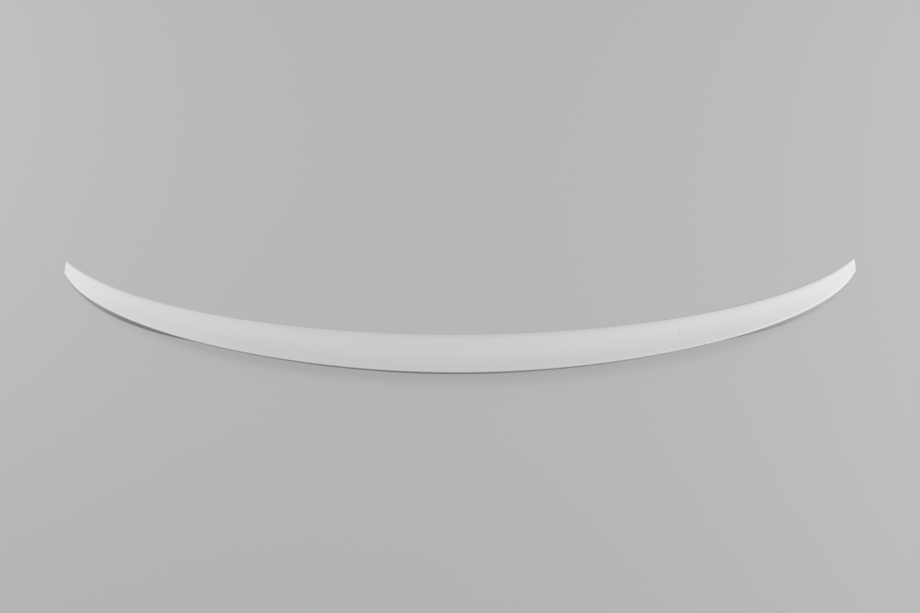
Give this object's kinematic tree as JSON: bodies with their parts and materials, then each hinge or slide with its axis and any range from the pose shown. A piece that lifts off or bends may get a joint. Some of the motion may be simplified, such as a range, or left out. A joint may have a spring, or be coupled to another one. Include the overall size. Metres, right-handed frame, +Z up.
{
  "type": "car rear spoiler",
  "caption": "Low crescent lip spoiler for a saloon's boot lid: a white moulded blade whose ramp sweeps up to a rounded rear lip, with slant-cut tips and a ribbed bonding underside.",
  "frame": {"origin": "foot of the rear face on the centreline, where the underside meets the boot lid", "axes": "+X along the span to the car's right, +Y forward toward the rear window, +Z up from the lid"},
  "size_m": [1.2, 0.1871, 0.0215],
  "materials": {
    "white_moulding": "satin, unpainted"
  },
  "bodies": {
    "root": {"spoiler_moulding": "white_moulding"}
  },
  "joints": []
}
